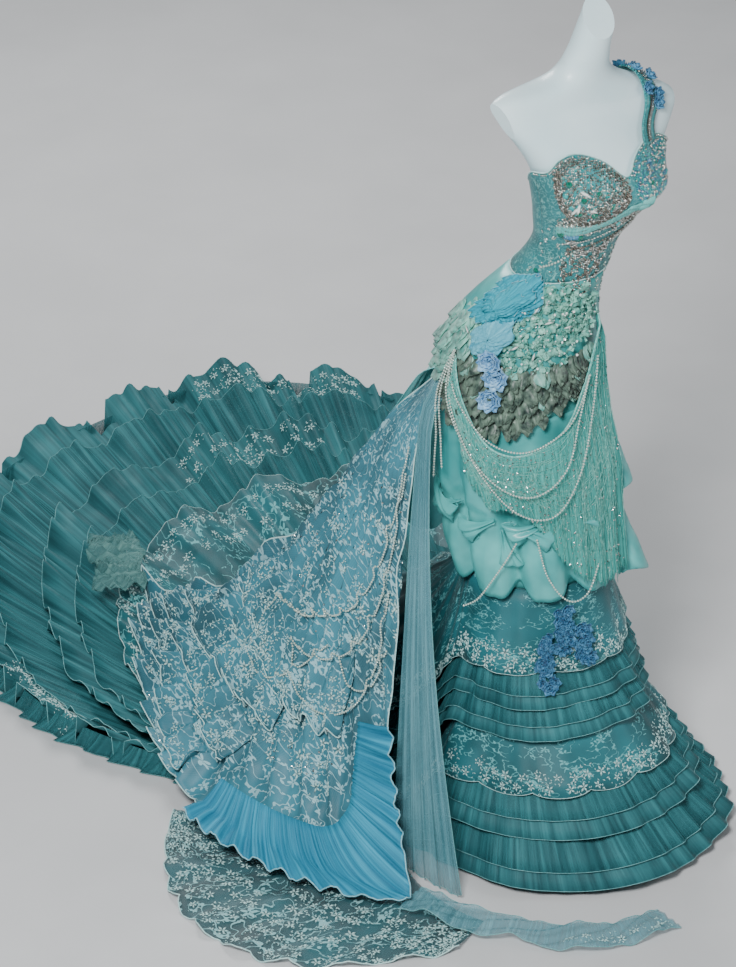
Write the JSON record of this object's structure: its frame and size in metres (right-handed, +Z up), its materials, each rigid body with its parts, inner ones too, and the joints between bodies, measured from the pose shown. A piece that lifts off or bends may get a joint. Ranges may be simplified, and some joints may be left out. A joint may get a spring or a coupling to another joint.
{
  "type": "one-shoulder mermaid prom dress with a ruffled floor train, on a limbless dress form with a floor stand",
  "caption": "Fitted beaded bodice with one shoulder strap over a draped skirt that flares into stacked lace and tulle ruffles and a long floor train, shown on a dress form.",
  "frame": {"origin": "centre of the stand's base plate on the floor, on the plate's underside", "axes": "-Y is the way the dress faces, +X is the wearer's left, +Y is the wearer's back where the train lies, +Z is up"},
  "size_m": [1.6718, 2.3321, 1.8582],
  "materials": {
    "satin": "smooth duchess satin",
    "tulle": "sheer tulle",
    "lace": "embroidered net",
    "beaded_tulle": "beaded tulle",
    "gauze": "sheer gauze",
    "mint_tulle": "crinkled tulle",
    "leaf_organza": "organza",
    "blue_organza": "gathered organza",
    "flower_cloth": "cut cloth petals",
    "form_white": "smooth moulded shell",
    "stand_steel": "brushed"
  },
  "bodies": {
    "root": {"blue_ruffle": "blue_organza", "bodice_back": "beaded_tulle", "bodice_front": "beaded_tulle", "dress_form": "form_white", "flower_1": "flower_cloth", "flower_2": "flower_cloth", "flower_3": "flower_cloth", "flower_strip_1": "flower_cloth", "flower_strip_2": "flower_cloth", "flower_strip_3": "flower_cloth", "gauze_panel": "gauze", "hip_spray": "mint_tulle", "lace_train": "lace", "lower_lace": "lace", "organza_puff": "blue_organza", "petal_band": "leaf_organza", "rosette": "blue_organza", "satin_back": "satin", "satin_overskirt": "satin", "shoulder_strap": "beaded_tulle", "skirt_back": "satin", "skirt_front": "satin", "stand_plate": "stand_steel", "stand_pole": "stand_steel", "tier_1_lace": "lace", "tier_2_tulle": "tulle", "tier_3_tulle": "tulle", "tier_4_lace": "lace", "tier_5_tulle": "tulle", "tier_6_tulle": "tulle", "trailing_strip": "gauze", "train_strip": "leaf_organza", "tulle_swag": "mint_tulle", "underskirt_train": "tulle"}
  },
  "joints": []
}
